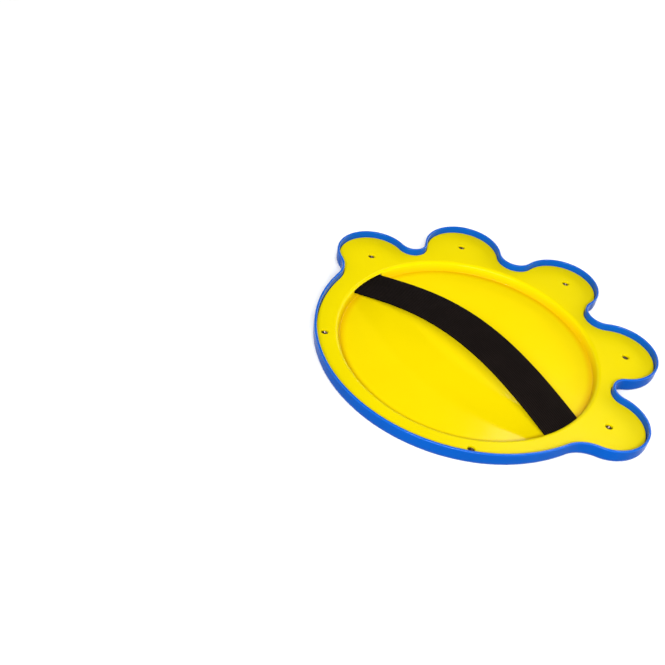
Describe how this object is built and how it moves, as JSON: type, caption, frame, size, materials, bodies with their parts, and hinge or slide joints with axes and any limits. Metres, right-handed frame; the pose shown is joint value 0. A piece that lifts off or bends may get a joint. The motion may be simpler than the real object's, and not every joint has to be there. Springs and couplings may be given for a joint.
{
  "type": "catch paddle",
  "caption": "Round five-lobed toy catch paddle: a smooth yellow catching disc in a blue shell, worn on the hand by an elastic strap across the dished back.",
  "frame": {"origin": "centre of the catching disc, on its front face", "axes": "+X along the hand strap, +Y towards the middle lobe, +Z out of the back of the paddle"},
  "size_m": [0.25, 0.2278, 0.0255],
  "materials": {
    "shell_blue": "glossy moulded polystyrene, smooth face with a raised spiral on each lobe",
    "plate_yellow": "glossy moulded plastic, mirror-smooth catching disc",
    "strap_black": "woven elastic webbing with fine lengthwise ribs",
    "bar_steel": "plain flat steel strip",
    "thread": "sewing thread",
    "screw_steel": "darkened steel self-tapping screw"
  },
  "bodies": {
    "paddle": {"front_shell": "shell_blue", "catch_plate": "plate_yellow", "anchor_bar_left": "bar_steel", "anchor_bar_right": "bar_steel", "lobe_screws": "screw_steel", "rim_screws": "screw_steel"},
    "strap": {"hand_strap": "strap_black", "strap_stitching_left": "thread", "strap_stitching_right": "thread"}
  },
  "joints": [
    {"name": "strap_lift", "type": "slide", "parent": "paddle", "child": "strap", "axis": [0, 0, 1], "range_m": [-0.016, 0.012], "stiffness_N_per_m": 150, "deforming": ["hand_strap", "strap_stitching_left", "strap_stitching_right"]}
  ]
}
